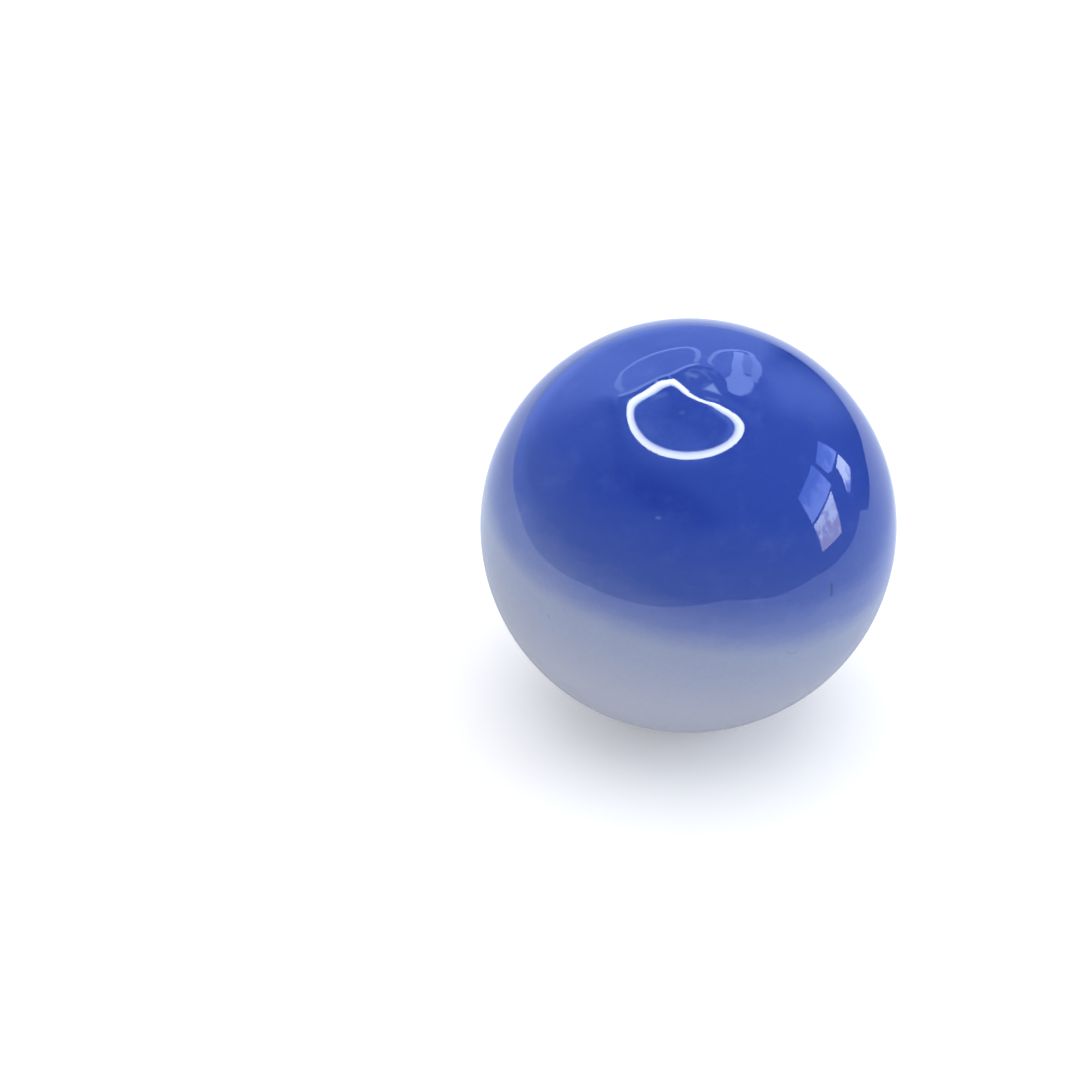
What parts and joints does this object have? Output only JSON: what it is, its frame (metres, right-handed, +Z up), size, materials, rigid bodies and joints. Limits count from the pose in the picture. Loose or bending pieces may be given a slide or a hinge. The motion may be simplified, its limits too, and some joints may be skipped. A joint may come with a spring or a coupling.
{
  "type": "glass marble",
  "caption": "Solid opal glass ball, deep blue fading to milky grey-blue below, with a shallow cut-off mark near the top.",
  "frame": {"origin": "centre of the ball", "axes": "+Z up, away from the point that touches what the ball lies on; +X to the right and -Y towards the viewer, with the blue glass above and the milky glass below"},
  "size_m": [0.025, 0.025, 0.025],
  "materials": {
    "opal_glass": "polished opal glass, opaque, deep cobalt blue above and milky grey-blue below, with a soft cloudy boundary a little below mid-height"
  },
  "bodies": {
    "root": {"glass_marble": "opal_glass"}
  },
  "joints": []
}
